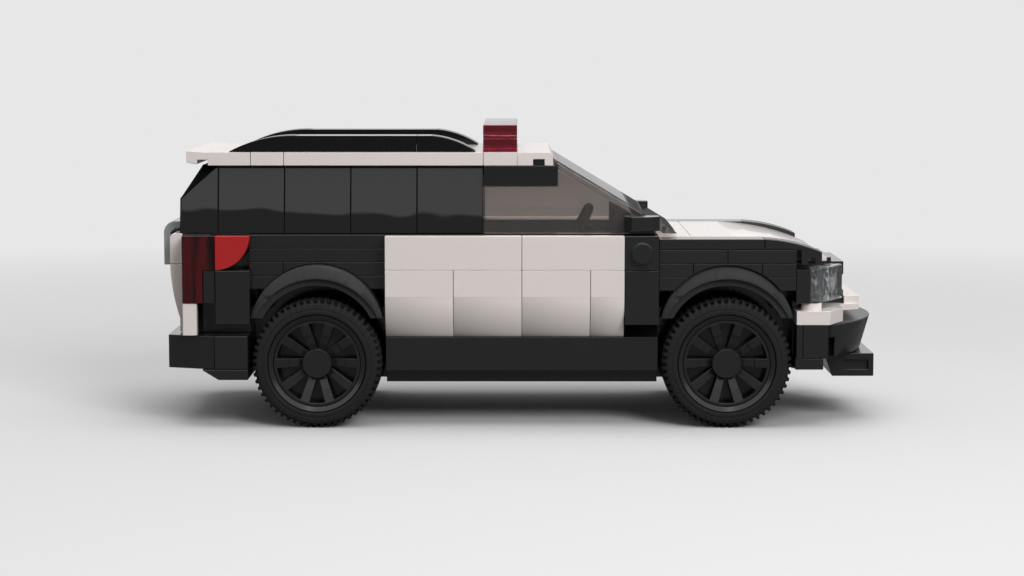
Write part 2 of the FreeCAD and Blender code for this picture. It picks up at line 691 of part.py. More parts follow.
def grille():
    """Black core of the grille with two bars across it."""
    low = BUMPER_Z + PLATE
    start = NOSE_SEAT + SEAM
    front = NOSE_SEAT + GRILLE_OUT
    back = block(start, front - GRILLE_DEPTH, -HALF_GRILLE, HALF_GRILLE, low, HOOD_END_Z - HOOD_EDGE - SEAM)
    bars = [block(start, front, -HALF_GRILLE, HALF_GRILLE, z, z + PLATE) for z in (low, GRILLE_BAR_Z)]
    return [back.fuse(bars).removeSplitter()]


def bumper_plate():
    """White wedge plate across the nose with a raised middle and a stud under each lamp."""
    start = NOSE_SEAT + SEAM
    inner = CORE_END + 2 * SEAM
    edge = NOSE_SEAT + WEDGE_OUT
    tip = NOSE_SEAT + WEDGE_TIP
    face = NOSE_SEAT + GRILLE_OUT + SEAM
    outline = [(start, 0), (start, HALF_CORE + SEAM), (inner, HALF_CORE + SEAM), (inner, HALF_BODY),
               (RED_END, HALF_BODY), (edge, HALF_CORE), (edge, 0)]
    half = plan_prism(outline, BUMPER_Z, BUMPER_Z + PLATE)
    tongue = plan_prism([(edge, 0), (edge, HALF_CABIN), (tip, HALF_GRILLE), (tip, 0)],
                        WEDGE_Z0, BUMPER_Z + PLATE - SEAM)
    raised = plan_prism([(face, 0), (face, HALF_GRILLE + SKIN), (tip, HALF_GRILLE), (tip, 0)],
                        WEDGE_Z0, WEDGE_Z1)
    middle = (HALF_CORE + HALF_BODY) / 2
    knob = Part.makeCylinder(STUD_R, STUD_H, V(NOSE_SEAT, middle, BUMPER_Z + PLATE))
    left = half.fuse([tongue, raised, knob])
    return [left.fuse(mirrored(left)).removeSplitter()]


def front_corners():
    """Black blocks beside the front bumper, below the white plate."""
    y0, y1 = HALF_CORE + SEAM, HALF_BODY
    start = TYRE_END
    joint = start + CORNER_JOINT
    top = BUMPER_Z - SEAM
    lower = block(start, start + CORNER_LOW, y0, y1, SKIRT_Z, level(2))
    strip = block(start + 2 * SEAM, joint - SEAM / 2, y0, y1, level(2), top)
    front = block(joint + SEAM / 2, CORE_END + CORNER_OUT, y0, y1, level(2) + SEAM, top)
    return pair([lower.fuse(strip).removeSplitter(), front])


def bumper_outline(z, table):
    """Closed wire of the curved bumper at one height."""
    back = CORE_END + CORNER_OUT + SEAM
    x, y, front = NOSE_SEAT + table[0], table[1], NOSE_SEAT + table[2]
    bow = Part.Arc(V(x, y, z), V(front, 0, z), V(x, -y, z)).toShape()
    corners = [V(x, -y, z), V(back, -y, z), V(back, y, z), V(x, y, z)]
    sides = [Part.LineSegment(p, q).toShape() for p, q in zip(corners[:-1], corners[1:])]
    return Part.Wire([bow] + sides)


def front_bumper():
    """Black bumper, curved in plan, drawn in at the bottom, with a recess at each end."""
    low = bumper_outline(BUMPER_LOW_Z + SEAM, BUMPER_BOTTOM)
    high = bumper_outline(BUMPER_Z - SEAM, BUMPER_TOP)
    body = Part.makeLoft([low, high], True, True)
    recess = block(CORE_END, NOSE_SEAT + BUMPER_RECESS, HALF_CORE + SEAM, HALF_BODY, BASE_Z, BUMPER_RECESS_Z)
    return [body.cut(pair([recess]))]


def front_lip():
    """Low lip under the bumper, its back slanting forwards, with a slot in each side."""
    lip = side_prism([(NOSE_SEAT + x, z) for x, z in LIP_SIDE], -LIP_HALF, LIP_HALF)
    x0, x1 = NOSE_SEAT + PITCH + SKIN, NOSE_SEAT + 2 * PITCH - SKIN
    z0, z1 = LIP_Z + BRACKET, BUMPER_LOW_Z - BRACKET
    slot = block(x0, x1, LIP_HALF - LIP_SLOT, LIP_HALF, z0, z1)
    return [lip.cut(pair([slot]))]


# ---------------------------------------------------------------- tail
def side_knob(x, z):
    """Stud of the tail core that carries an outer tile."""
    return barrel(x, z, STUD_R, HALF_CORE, TILE_SEAT)


def tail_core():
    """Black core behind the rear wheels, with side studs and the boot floor over the wheels."""
    inner = HALF_CABIN - SEAM
    deck = block(-CORE_END, -DOOR_END - SEAM, -inner, inner, level(3), level(9))
    rear = block(-TAIL_SEAT, -CORE_END - SEAM, -HALF_CORE, HALF_CORE, REAR_BUMPER_TOP, BELT_Z)
    bridge = block(-CORE_END - SKIN, -CORE_END + SKIN, -inner, inner, level(4), level(9))
    back = LAMP_SHORT - TAIL_SEAT
    pad = block(back, -RED_END - SKIN, HALF_CORE, TILE_SEAT, TRIM_TOP_Z + SEAM, BELT_Z)
    heel = block(back, SKIN / 2 - TAIL_SEAT + TRIM_LONG / 2, HALF_CORE, TILE_SEAT,
                 REAR_BUMPER_TOP, TRIM_TOP_Z + SEAM)
    x = QUARTER_X + PITCH / 2
    knobs = [side_knob(x - SKIN / 2, BELT_Z - STUD_R - SKIN), side_knob(x, DOOR_MID_Z - PITCH / 2),
             side_knob(x, QUARTER_LOW_Z + PITCH / 2)]
    return [deck.fuse([rear, bridge] + pair([pad, heel] + knobs)).removeSplitter()]


def red_quarters():
    """Red tiles with one round corner, low at the front."""
    y = TILE_SEAT
    radius = BELT_Z - DOOR_MID_Z
    x0, x1 = QUARTER_X, QUARTER_X + radius
    reach = radius * math.sqrt(0.5)
    edges = path(y, (x0, BELT_Z), (x1, BELT_Z), (x0 + reach, BELT_Z - reach, x0, DOOR_MID_Z))
    return pair([side_face(edges, y, HALF_BODY)])


def rear_quarters():
    """Black tiles under the red ones, and the strip behind them."""
    top = DOOR_MID_Z - SEAM
    tile = block(QUARTER_X, QUARTER_X + PITCH, TILE_SEAT, HALF_BODY, QUARTER_LOW_Z, top)
    strip = block(QUARTER_X - STRIP_LONG, QUARTER_X - SEAM, TILE_SEAT, HALF_BODY - TRIM_SET,
                  TRIM_TOP_Z + SEAM, top)
    return pair([tile, strip])


def tail_lamps():
    """Dark red lamps on the rear corners, wider at the top."""
    low = TRIM_TOP_Z + SEAM
    back = LAMP_SHORT - TAIL_SEAT
    wide = QUARTER_X - SEAM
    neck = wide - STRIP_LONG
    outline = [(back, low), (neck, low), (neck, DOOR_MID_Z), (wide, DOOR_MID_Z), (wide, BELT_Z),
               (back, BELT_Z)]
    return pair([side_prism(outline, TILE_SEAT, HALF_BODY - LAMP_SET)])


def tail_trims():
    """White blocks below the tail lamps."""
    return pair([block(LAMP_SHORT - TAIL_SEAT, TRIM_LONG - TAIL_SEAT, TILE_SEAT, HALF_BODY - TRIM_SET,
                       REAR_BUMPER_TOP, TRIM_TOP_Z)])


def tailgate():
    """White tailgate in two pieces, upright above and curving in below."""
    y = -HALF_CORE
    seat = -TAIL_SEAT - SEAM
    low = REAR_BUMPER_TOP + SEAM
    joint = TAIL_JOINT_Z
    corner = TAIL_ROUND * (1 - math.sqrt(0.5))
    foot = TAIL_X + TAIL_TUCK
    upper = path(y, (seat, joint + SEAM), (seat, BELT_Z), (TAIL_X + TAIL_ROUND, BELT_Z),
                 (TAIL_X + corner, BELT_Z - corner, TAIL_X, BELT_Z - TAIL_ROUND), (TAIL_X, joint + SEAM))
    lower = path(y, (seat, low), (seat, joint), (TAIL_X, joint),
                 (TAIL_X + TAIL_BULGE, (joint + low) / 2 + TAIL_ROUND, foot, low + PLATE), (foot, low))
    return [side_face(edges, y, HALF_CORE) for edges in (upper, lower)]


def tailgate_handle():
    """Light grey bent strip over the tailgate."""
    y = -HALF_CABIN
    root = GLASS_X - SEAM
    out = GLASS_X - HANDLE_OUT
    inside = out + HANDLE_T
    top = HANDLE_TOP_Z
    corner = HANDLE_ROUND * (1 - math.sqrt(0.5))
    nick = HANDLE_ROUND - HANDLE_T
    edges = path(y, (root, top), (out + HANDLE_ROUND, top),
                 (out + corner, top - corner, out, top - HANDLE_ROUND), (out, HANDLE_LOW_Z),
                 (inside, HANDLE_LOW_Z), (inside, top - HANDLE_T - nick), (inside + nick, top - HANDLE_T),
                 (root, top - HANDLE_T))
    return [side_face(edges, y, HALF_CABIN)]


def rear_bumper():
    """Black bumper: a block behind the wheels and a rear piece with swept corners."""
    top = REAR_BUMPER_TOP - SEAM
    side = block(-RED_END + SEAM, -BLOCK_END - SEAM, -HALF_BODY, HALF_BODY, SKIRT_Z, top)
    out = TAIL_X
    outline = [(-RED_END, -HALF_BODY), (out, -REAR_SWEEP), (out, REAR_SWEEP), (-RED_END, HALF_BODY)]
    return [side, plan_prism(outline, SKIRT_Z, top)]


def rear_underplate():
    """Plate under the rear bumper, slanting up to the back."""
    start = -BLOCK_END - SEAM
    top = SKIRT_Z - SEAM
    outline = [(start, UNDER_Z), (start, top), (-CORE_END - UNDER_END, top),
               (-CORE_END - UNDER_BREAK, UNDER_Z)]
    return [side_prism(outline, -HALF_BODY, HALF_BODY)]


# ---------------------------------------------------------------- cabin
def cabin_floor():
    """Raised floor between the side walls."""
    return [block(-DOOR_END, DOOR_END, SEAM - HALF_CABIN, HALF_CABIN - SEAM, FLOOR_Z, level(3))]


def seat(x, y0, y1):
    """Cushion and back of one seat."""
    cushion = block(x, x + 0.4 * DOOR_END, y0, y1, level(3), level(5))
    back = block(x, x + BRACKET * 2, y0, y1, level(5), level(10))
    return cushion.fuse(back).removeSplitter()


def seats():
    """Two front seats and a rear bench."""
    side = HALF_CABIN - SKIN
    front = -0.3 * DOOR_END
    bench = SKIN - 0.9 * DOOR_END
    return pair([seat(front, SKIN, side)]) + [seat(bench, -side, side)]


def dashboard():
    """Dashboard block across the cabin, its top sloping under the windscreen."""
    side = HALF_CABIN - SEAM
    under = WINDSCREEN_T + WALL / 4
    crest, front = DASH_X + STUD_R, DASH_X + 2 * PLATE
    outline = [(DASH_X, level(3)), (DASH_X, at_x(under, crest)), (crest, at_x(under, crest)),
               (front, at_x(under, front)), (front, level(3))]
    return [side_prism(outline, -side, side)]


def steering_wheel():
    """Small steering wheel on a stalk, on the left."""
    radius = STUD_R + 2 * SKIN
    reach = PITCH - SKIN + 2 * SEAM
    ring = Part.makeTorus(radius, STUD_R / 2, V(0, 0, 0), V(0, 0, 1))
    spoke = block(-radius, radius, -SKIN, SKIN, -SKIN / 2, SKIN / 2)
    stalk = Part.makeCylinder(SKIN, reach, V(0, 0, -reach))
    wheel = ring.fuse([spoke, stalk])
    wheel.rotate(V(0, 0, 0), V(0, 1, 0), -65)
    wheel.translate(V(DASH_X - reach, PITCH, BELT_Z - SEAM))
    return [wheel]


# ---------------------------------------------------------------- files
os.makedirs("parts", exist_ok=True)

save("floor_plates", floor_plates())
for end, side in (("front", 1), ("rear", -1)):
    save(end + "_axle_holder", [axle_holder(side)])
    for flank, turn in (("left", False), ("right", True)):
        name = end + "_" + flank
        x = side * HALF_BASE
        for kind, piece in (("tyre", tyre(x)), ("rim", rim(x)), ("cover", wheel_cover(x))):
            save(kind + "_" + name, [mirrored(piece) if turn else piece])

save("sill_tiles", sill_tiles())
save("cabin_walls", cabin_walls())
save("door_brackets", door_brackets())
save("upper_door_tiles", upper_door_tiles())
save("lower_door_panels", lower_door_panels())
save("front_pillars", front_pillars())

save("front_fender_plates", pair(fender_rows(FRONT_ROWS, HALF_BODY, HALF_BASE)))
save("front_fender_slopes", front_fender_slopes())
save("rear_fender_plates", pair(fender_rows(REAR_ROWS, HALF_REAR, -HALF_BASE)))
save("front_arches", pair([wheel_arch(HALF_BASE, HALF_CORE)]))
save("rear_arches", pair([wheel_arch(-HALF_BASE, HALF_CORE)]))

save("side_windows", side_windows())
save("rear_corner_panels", rear_corner_panels())
save("rear_glass", rear_glass())
save("roof_tiles", roof_tiles())
save("spoiler", spoiler())
save("roof_rails", roof_rails())
save("light_bar_red", light_bar(-HALF_CORE, -SEAM / 2))
save("light_bar_blue", light_bar(SEAM / 2, HALF_CORE))
save("windscreen", windscreen())
save("roof_header", roof_header())
save("mirrors", mirrors())

save("nose_core", nose_core())
save("cowl", cowl())
save("hood", hood())
save("headlight_bodies", headlight_bodies())
save("headlamps", headlamps())
save("grille", grille())
save("bumper_plate", bumper_plate())
save("front_corners", front_corners())
save("front_bumper", front_bumper())
save("front_lip", front_lip())

save("tail_core", tail_core())
save("red_quarters", red_quarters())
save("rear_quarters", rear_quarters())
save("tail_lamps", tail_lamps())
save("tail_trims", tail_trims())
save("tailgate", tailgate())
save("tailgate_handle", tailgate_handle())
save("rear_bumper", rear_bumper())
save("rear_underplate", rear_underplate())

save("cabin_floor", cabin_floor())
save("seats", seats())
save("dashboard", dashboard())
save("steering_wheel", steering_wheel())
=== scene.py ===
"""Looks of the toy police SUV: moulded and clear plastic, tyres with tread, studio light.

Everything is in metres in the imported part's own frame: +X forward, +Y left, +Z up, ground at z = 0.
"""
import json
import math

import bmesh
import bpy
from mathutils import Matrix, Vector


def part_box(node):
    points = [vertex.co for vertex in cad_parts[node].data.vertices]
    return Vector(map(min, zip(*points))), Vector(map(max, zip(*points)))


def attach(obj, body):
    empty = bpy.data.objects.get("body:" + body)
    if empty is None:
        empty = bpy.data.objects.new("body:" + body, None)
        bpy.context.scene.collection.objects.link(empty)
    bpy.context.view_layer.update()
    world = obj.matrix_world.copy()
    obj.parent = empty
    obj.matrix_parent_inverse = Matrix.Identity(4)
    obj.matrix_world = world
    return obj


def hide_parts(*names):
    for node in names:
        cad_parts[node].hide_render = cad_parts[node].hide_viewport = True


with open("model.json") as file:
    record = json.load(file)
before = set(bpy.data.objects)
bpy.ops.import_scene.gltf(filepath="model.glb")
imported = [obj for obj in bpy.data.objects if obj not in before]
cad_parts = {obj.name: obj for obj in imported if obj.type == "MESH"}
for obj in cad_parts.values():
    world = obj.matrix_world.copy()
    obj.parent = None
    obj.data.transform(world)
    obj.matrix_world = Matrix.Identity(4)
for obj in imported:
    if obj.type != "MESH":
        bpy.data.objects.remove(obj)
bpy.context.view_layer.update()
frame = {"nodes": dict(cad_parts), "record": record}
NODES = frame["nodes"]

MM = 0.001
CORNERS = ("front_left", "front_right", "rear_left", "rear_right")


# ---------------------------------------------------------------- materials
PLASTIC_IOR = 1.54
CLEAR_IOR = 1.49
FINE_SCALE = 1400.0          # fine drift in moulded plastic, features per metre
CLEAR_ROUGH_RISE = 0.02      # how far the roughness of clear plastic varies
SOAK_TONE = 0.1              # grey of the absorption inside clear plastic
RUBBER_SCALE = 2600.0        # grain of the tyres
RUBBER_ROUGH = (0.5, 0.7)
RUBBER_SPECULAR = 0.15
RUBBER_WAVE, RUBBER_STRENGTH = 0.00003, 0.6              # height of the grain, in metres


def linear(value):
    """One sRGB channel from 0 to 255 as scene-linear."""
    c = value / 255
    return c / 12.92 if c <= 0.04045 else ((c + 0.055) / 1.055) ** 2.4


def colour(red, green, blue):
    """An sRGB colour as scene-linear RGBA."""
    return (linear(red), linear(green), linear(blue), 1.0)


def node_tree(name):
    """A new material with its nodes, links and principled shader."""
    material = bpy.data.materials.new(name)
    material.use_nodes = True
    nodes = material.node_tree.nodes
    return material, nodes, material.node_tree.links, nodes["Principled BSDF"]


def noise(nodes, links, scale, detail=2.0, upright=1.0):
    """Noise over object space, with scale in features per metre; upright draws it out along Z."""
    place = nodes.new("ShaderNodeTexCoord")
    stretch = nodes.new("ShaderNodeMapping")
    stretch.inputs["Scale"].default_value = (1, 1, 1 / upright)
    links.new(place.outputs["Object"], stretch.inputs["Vector"])
    texture = nodes.new("ShaderNodeTexNoise")
    texture.inputs["Scale"].default_value = scale
    texture.inputs["Detail"].default_value = detail
    links.new(stretch.outputs["Vector"], texture.inputs["Vector"])
    return texture.outputs["Fac"]


def between(nodes, links, factor, low, high):
    """Maps a 0-to-1 value to a range."""
    ramp = nodes.new("ShaderNodeMapRange")
    ramp.inputs["To Min"].default_value = low
    ramp.inputs["To Max"].default_value = high
    links.new(factor, ramp.inputs["Value"])
    return ramp.outputs["Result"]


def stepped(nodes, links, value, middle, half_width):
    """Goes from 0 to 1 as a value passes a level."""
    step = nodes.new("ShaderNodeMapRange")
    step.inputs["From Min"].default_value = middle - half_width
    step.inputs["From Max"].default_value = middle + half_width
    links.new(value, step.inputs["Value"])
    return step.outputs["Result"]


def mixed(nodes, links, factor, first, second):
    """Blend of two colours, each a socket, a grey level or RGBA values."""
    mix = nodes.new("ShaderNodeMix")
    mix.data_type = "RGBA"
    links.new(factor, mix.inputs["Factor"])
    for socket, value in ((mix.inputs["A"], first), (mix.inputs["B"], second)):
        if isinstance(value, float):
            socket.default_value = (value, value, value, 1)
        elif isinstance(value, list):
            socket.default_value = value
        else:
            links.new(value, socket)
    return mix.outputs["Result"]


def tinted(nodes, links, factor, base, spread):
    """A colour that varies a little in lightness."""
    darker = [c * (1 - spread) for c in base[:3]] + [1]
    lighter = [min(1, c * (1 + spread)) for c in base[:3]] + [1]
    return mixed(nodes, links, factor, darker, lighter)


def bumped(nodes, links, shader, height, distance, strength=1.0):
    """Adds a bump, its height given in metres."""
    bump = nodes.new("ShaderNodeBump")
    bump.inputs["Distance"].default_value = distance
    bump.inputs["Strength"].default_value = strength
    links.new(height, bump.inputs["Height"])
    links.new(bump.outputs["Normal"], shader.inputs["Normal"])


def moulded(name, base, rough=(0.10, 0.2), wave=0.00002, wave_scale=90.0, specular=0.5):
    """Opaque moulded plastic: faint flow waves in the gloss and slight colour drift."""
    material, nodes, links, shader = node_tree(name)
    fine = noise(nodes, links, FINE_SCALE, detail=3.0)
    broad = noise(nodes, links, wave_scale, detail=1.0)
    links.new(tinted(nodes, links, fine, base, spread=0.03), shader.inputs["Base Color"])
    links.new(between(nodes, links, fine, *rough), shader.inputs["Roughness"])
    shader.inputs["Specular IOR Level"].default_value = specular
    shader.inputs["IOR"].default_value = PLASTIC_IOR
    bumped(nodes, links, shader, broad, wave)
    return material


def clear(name, tint, rough=0.03, density=0.9, wave=0.00002, wave_scale=120.0, grain=700.0,
          spread=0.03, upright=1.0, edge=0.5, specular=0.5, soak=0.0):
    """Transparent plastic, a little wavy.

    wave is a height in metres, wave_scale and grain are features per metre. spread and edge are the
    strength and softness of the streaks in the tint. soak darkens long ways through the plastic.
    """
    material, nodes, links, shader = node_tree(name)
    fine = noise(nodes, links, grain, upright=upright)
    broad = noise(nodes, links, wave_scale, detail=1.0, upright=upright)
    streak = stepped(nodes, links, fine, middle=0.5, half_width=edge)
    links.new(tinted(nodes, links, streak, tint, spread), shader.inputs["Base Color"])
    gloss = between(nodes, links, fine, rough, rough + CLEAR_ROUGH_RISE)
    links.new(gloss, shader.inputs["Roughness"])
    shader.inputs["Specular IOR Level"].default_value = specular
    shader.inputs["Transmission Weight"].default_value = density
    shader.inputs["IOR"].default_value = CLEAR_IOR
    if soak:
        volume = nodes.new("ShaderNodeVolumeAbsorption")
        volume.inputs["Color"].default_value = (SOAK_TONE, SOAK_TONE, SOAK_TONE, 1)
        volume.inputs["Density"].default_value = soak
        links.new(volume.outputs["Volume"], nodes["Material Output"].inputs["Volume"])
    bumped(nodes, links, shader, broad, wave)
    return material


def rubber(name, base):
    """Dull rubber with a fine grain."""
    material, nodes, links, shader = node_tree(name)
    grain = noise(nodes, links, RUBBER_SCALE, detail=4.0)
    links.new(tinted(nodes, links, grain, base, spread=0.2), shader.inputs["Base Color"])
    links.new(between(nodes, links, grain, *RUBBER_ROUGH), shader.inputs["Roughness"])
    shader.inputs["Specular IOR Level"].default_value = RUBBER_SPECULAR
    bumped(nodes, links, shader, grain, RUBBER_WAVE, RUBBER_STRENGTH)
    return material


MATERIALS = {
    "white_plastic": moulded("white_plastic", colour(229, 220, 216)),
    "black_plastic": moulded("black_plastic", colour(32, 32, 33), rough=(0.07, 0.14)),
    "arch_plastic": moulded("arch_plastic", colour(49, 49, 50), rough=(0.25, 0.35), specular=0.2),
    "window_black": moulded("window_black", colour(20, 20, 21), rough=(0.0, 0.006), wave=0.000012),
    "rail_black": moulded("rail_black", colour(20, 20, 21), rough=(0.05, 0.1)),
    "grey_plastic": moulded("grey_plastic", colour(160, 163, 164)),
    "red_plastic": moulded("red_plastic", colour(176, 34, 36)),
    "clear_red": clear("clear_red", colour(238, 92, 88), wave=0.00006, wave_scale=350.0,
                       spread=0.1, soak=20.0),
    "clear_blue": clear("clear_blue", colour(40, 110, 215)),
    "clear_dark_red": clear("clear_dark_red", colour(96, 16, 21), density=0.7, wave=0.0001,
                            wave_scale=400.0, grain=450.0, spread=0.9, upright=14.0, edge=0.12),
    "clear_plastic": clear("clear_plastic", colour(240, 243, 244), density=0.97, wave=0.00025,
                           wave_scale=600.0),
    "smoked_clear": clear("smoked_clear", colour(242, 233, 227), rough=0.0, density=0.97,
                          wave=0.000004, grain=200.0, spread=0.015, specular=0.42, soak=40.0),
    "rim_plastic": moulded("rim_plastic", colour(29, 29, 30), rough=(0.16, 0.24)),
    "tyre_rubber": rubber("tyre_rubber", colour(37, 37, 38)),
}
# Painted shade: shaded_black is darker than the black plastic and reflects nothing, standing in for
# the shade on the cabin's parts and the rear facets.
SHADED = moulded("shaded_black", colour(22, 22, 22), rough=(0.4, 0.5), specular=0.0)
SATIN = moulded("satin_black", colour(42, 42, 43), rough=(0.2, 0.3), specular=0.1)
CABIN_NODES = ("door_brackets", "cabin_walls", "cabin_floor", "seats", "dashboard",
               "steering_wheel")
# The front bumper gets a satin finish; the cabin's parts get the painted shade of shaded_black.
OWN_FINISH_AND_SHADE = {"front_bumper": SATIN, **{name: SHADED for name in CABIN_NODES}}


# ---------------------------------------------------------------- edges and pieces
EDGE_WIDTH = 0.16 * MM       # rounding of a moulded edge
OWN_EDGE = {"front_fender_plates": 0.26 * MM, "rear_fender_plates": 0.26 * MM,
            "front_bumper": 0.7 * MM}
NODE_EDGE_ANGLE = 35         # edges sharper than this many degrees are rounded on the CAD nodes
PIECE_EDGE_ANGLE = 30        # and on the pieces made here
SMOOTH_ANGLE = 35            # flatter edges of the pieces made here are shaded smooth
WELD_REACH = 0.002 * MM      # points nearer than this become one
FLAT_ANGLE = 0.4             # triangles within this many degrees are one flat face


def rounded(obj, width, angle):
    """Rounds the edges that are sharper than an angle."""
    bevel = obj.modifiers.new("edge", "BEVEL")
    bevel.width = width
    bevel.segments = 2
    bevel.limit_method = "ANGLE"
    bevel.angle_limit = math.radians(angle)
    bevel.harden_normals = True


def dress_nodes():
    """Gives each CAD node its material and lightly rounded edges."""
    slots = {s["node"]: s["material_slot"] for s in frame["record"]["subparts"]}
    for name, obj in NODES.items():
        obj.data.materials.clear()
        obj.data.materials.append(OWN_FINISH_AND_SHADE.get(name) or MATERIALS[slots[name]])
        weld = obj.modifiers.new("weld", "WELD")
        weld.merge_threshold = WELD_REACH
        flat = obj.modifiers.new("flat", "DECIMATE")
        flat.decimate_type = "DISSOLVE"
        flat.angle_limit = math.radians(FLAT_ANGLE)
        rounded(obj, OWN_EDGE.get(name, EDGE_WIDTH), NODE_EDGE_ANGLE)


def mesh_piece(name, bm, body, slot, material=None):
    """Turns a bmesh into a piece that rides on a body."""
    mesh = bpy.data.meshes.new(name)
    bmesh.ops.recalc_face_normals(bm, faces=bm.faces)
    bm.to_mesh(mesh)
    bm.free()
    obj = bpy.data.objects.new(name, mesh)
    bpy.context.scene.collection.objects.link(obj)
    mesh.materials.append(material or MATERIALS[slot])
    mesh.shade_smooth()
    mesh.set_sharp_from_angle(angle=math.radians(SMOOTH_ANGLE))
    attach(obj, body)
    return obj


BOX_FACES = ((0, 1, 3, 2), (4, 6, 7, 5), (0, 4, 5, 1), (2, 3, 7, 6), (0, 2, 6, 4), (1, 5, 7, 3))


def box_of(bm, corners):
    """Adds six faces over eight corners, given in the order of their low and high X, Y and Z."""
    for quad in BOX_FACES:
        bm.faces.new([corners[i] for i in quad])


# ---------------------------------------------------------------- wheels
TREAD_BLOCKS = 56
STEPS = 8                    # mesh steps in one tread block, half of them notch
BORE_R = 11.45 * MM          # where the tyre sits on the rim
# Depth from the tyre's outer face and height over the bore, in mm.
SIDEWALL = ((0.6, 0.02), (0.08, 0.2), (0.0, 0.45), (0.0, 1.2), (0.1, 1.35), (0.0, 1.5))
# Depth from the outer face, drop below the tread and depth of the notches, in mm.
TREAD = ((0.12, 1.3, 0), (0.45, 0.9, 0.1), (0.8, 0.35, 0.55), (1.4, 0, 0.9), (3.2, 0, 0.9),
         (3.3, 0.8, 0), (4.0, 0.8, 0), (4.1, 0, 0.2), (6.9, 0, 0.2))


def wheel_place(node):
    """Centre of a wheel piece's outer face, its radius, its width and the outward sign along Y."""
    low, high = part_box(node)
    side = 1 if node.endswith("left") else -1
    face = high[1] if side > 0 else low[1]
    centre = Vector(((low[0] + high[0]) / 2, face, (low[2] + high[2]) / 2))
    return centre, (high[0] - low[0]) / 2, high[1] - low[1], side


def notched(radius, notch=0.0):
    """Radius of each mesh step, smaller in the notches."""
    return lambda step: radius - (notch if step % STEPS < STEPS // 2 else 0)


def lathe(bm, centre, side, rings, count):
    """Adds a closed lathe about the wheel's axis; a ring is a depth and a radius for each step."""
    loops = []
    for depth, radius in rings:
        loop = []
        for i in range(count):
            angle = 2 * math.pi * i / count
            across, up = radius(i) * math.cos(angle), radius(i) * math.sin(angle)
            loop.append(bm.verts.new(centre + Vector((across, -side * depth, up))))
        loops.append(loop)
    for a, b in zip(loops, loops[1:] + loops[:1]):
        for i in range(count):
            j = (i + 1) % count
            bm.faces.new((a[i], a[j], b[j], b[i]))


def tyre(corner):
    """Tyre with a notched shoulder on both sides and a ribbed sidewall."""
    centre, outer, width, side = wheel_place("tyre_" + corner)
    half = [(depth * MM, notched(BORE_R + rise * MM)) for depth, rise in SIDEWALL]
    half += [(depth * MM, notched(outer - drop * MM, notch * MM)) for depth, drop, notch in TREAD]
    far = [(width - depth, radius) for depth, radius in reversed(half)]
    bm = bmesh.new()
    lathe(bm, centre, side, half + far, TREAD_BLOCKS * STEPS)
    piece = mesh_piece("tread_" + corner, bm, corner + "_wheel", "tyre_rubber")
    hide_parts("tyre_" + corner)


COVER_BLADES = 10
COVER_EDGE = 0.12 * MM
RING_STEPS, CAP_STEPS = 96, 48                           # mesh steps round the ring and the cap
RING_T, RING_FRONT, RING_BACK = 0.7 * MM, 0.3 * MM, 1.9 * MM
CAP_BORE, CAP_R, CAP_BACK = 0.01 * MM, 3.4 * MM, 3.6 * MM  # the bore is too small to show
FLANGE_IN, FLANGE_OUT = 0.1 * MM, 1.2 * MM               # past the ring
FLANGE_FRONT, FLANGE_LIP, FLANGE_BACK = 0.2 * MM, -0.5 * MM, 0.5 * MM
BLADE_ROOT = 2.6 * MM        # inner ends of the blades, from the axis
BLADE_STOP = 0.5 * MM        # outer ends, in from the ring's outside
HEAD_LENGTH = 3.0 * MM
# Thickness, then half width and depth at the inner and at the outer end, in mm.
BLADE = (0.9, (0.9, 2.5), (1.1, 0.7))
HEAD = (1.2, (1.05, 0.95), (1.1, 0.25))


def cover(corner):
    """Wheel cover: a thin ring with a flange, ten blades with raised heads, and a round cap."""
    centre, outer, _, side = wheel_place("cover_" + corner)
    inner, start, flange = outer - RING_T, outer + FLANGE_IN, outer + FLANGE_OUT
    tip = outer - BLADE_STOP
    bm = bmesh.new()

    def drum(profile, count):
        lathe(bm, centre, side, [(depth, notched(radius)) for radius, depth in profile], count)

    def blade(turn, form, root):
        thickness, inner_end, outer_end = form
        ends = [(r, w * MM, d * MM) for r, (w, d) in ((root, inner_end), (tip, outer_end))]
        box_of(bm, [bm.verts.new(centre + turn @ Vector((r, -side * (d + back), s * w)))
                    for back in (0, thickness * MM) for r, w, d in ends for s in (-1, 1)])

    drum(((inner, RING_FRONT), (outer, RING_FRONT), (outer, RING_BACK), (inner, RING_BACK)),
         RING_STEPS)
    drum(((CAP_BORE, 0), (CAP_R, 0), (CAP_R, CAP_BACK), (CAP_BORE, CAP_BACK)), CAP_STEPS)
    drum(((start, FLANGE_FRONT), (flange, FLANGE_LIP), (flange, FLANGE_BACK),
          (start, FLANGE_BACK)), RING_STEPS)
    for index in range(COVER_BLADES):
        turn = Matrix.Rotation(2 * math.pi * index / COVER_BLADES, 4, "Y")
        blade(turn, BLADE, BLADE_ROOT)
        blade(turn, HEAD, tip - HEAD_LENGTH)
    piece = mesh_piece("spokes_" + corner, bm, corner + "_wheel", "rim_plastic")
    rounded(piece, COVER_EDGE, PIECE_EDGE_ANGLE)
    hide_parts("cover_" + corner)


# ---------------------------------------------------------------- roof and rear corners
NOTCH_BACK, NOTCH_FRONT = 4.7 * MM, 2.0 * MM             # notch, from the roof's front end
NOTCH_HIGH = 1.5 * MM
BAR_INSET, BAR_END = 0.25 * MM, 1.6 * MM                 # the bar's ends, in from the roof's sides
BAR_END_GAP, BAR_GAP = 0.04 * MM, 0.2 * MM               # left round its thick ends and its middle
BAR_EDGE = 0.04 * MM


